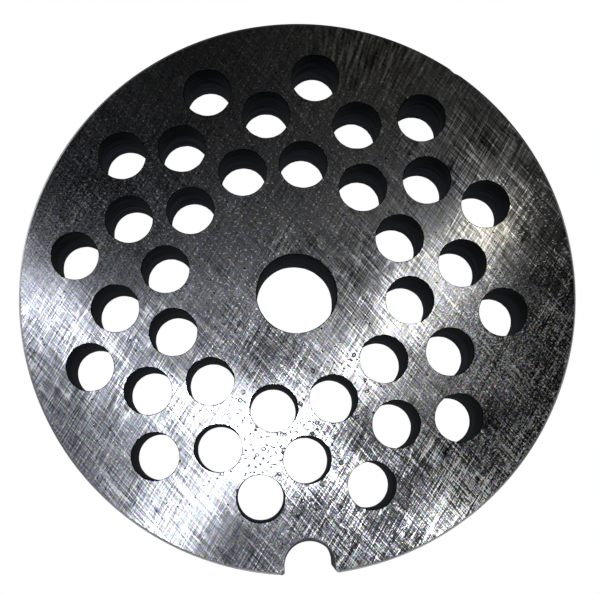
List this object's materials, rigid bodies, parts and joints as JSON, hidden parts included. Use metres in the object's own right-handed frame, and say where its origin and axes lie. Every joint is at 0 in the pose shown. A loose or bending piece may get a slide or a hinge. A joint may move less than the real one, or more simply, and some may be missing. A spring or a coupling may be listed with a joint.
{
  "type": "meat grinder plate",
  "caption": "Flat round grinder plate: staggered rings of straight cutting holes, a centre bore, and a round-ended locating notch in the rim.",
  "frame": {"origin": "centre of the bore, in the lower face that the plate lies on", "axes": "+Z along the bore's axis, out of the upper face; the locating notch in the rim is towards -Y"},
  "size_m": [0.07, 0.0698, 0.007],
  "materials": {
    "ground_steel": "ground flat in two crossing directions, used, finely pitted"
  },
  "bodies": {
    "root": {"grinder_plate": "ground_steel"}
  },
  "joints": []
}
